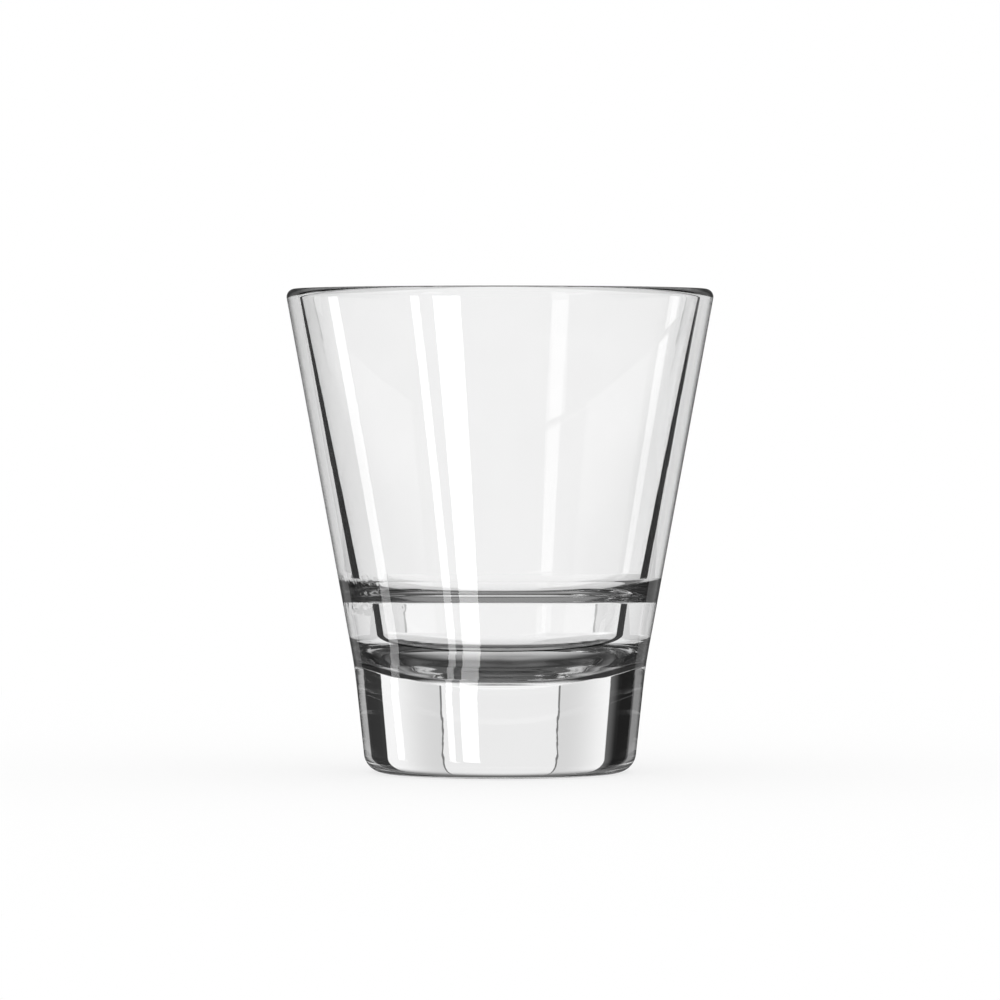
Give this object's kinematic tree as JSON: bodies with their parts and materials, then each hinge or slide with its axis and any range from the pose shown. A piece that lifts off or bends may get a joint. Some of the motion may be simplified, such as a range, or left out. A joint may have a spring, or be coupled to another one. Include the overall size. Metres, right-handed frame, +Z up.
{
  "type": "rocks glass",
  "caption": "Clear pressed-glass rocks tumbler with a flared bowl, an inner stacking ledge over a narrower lower chamber with a dished floor, and a heavy solid foot with a rounded heel.",
  "frame": {"origin": "on the table, at the axis of the glass", "axes": "+Z up along the axis, out of the mouth; the glass is round, so X and Y are free"},
  "size_m": [0.086, 0.086, 0.0974],
  "materials": {
    "clear_glass": "clear, smooth, fire-polished"
  },
  "bodies": {
    "root": {"tumbler": "clear_glass"}
  },
  "joints": []
}
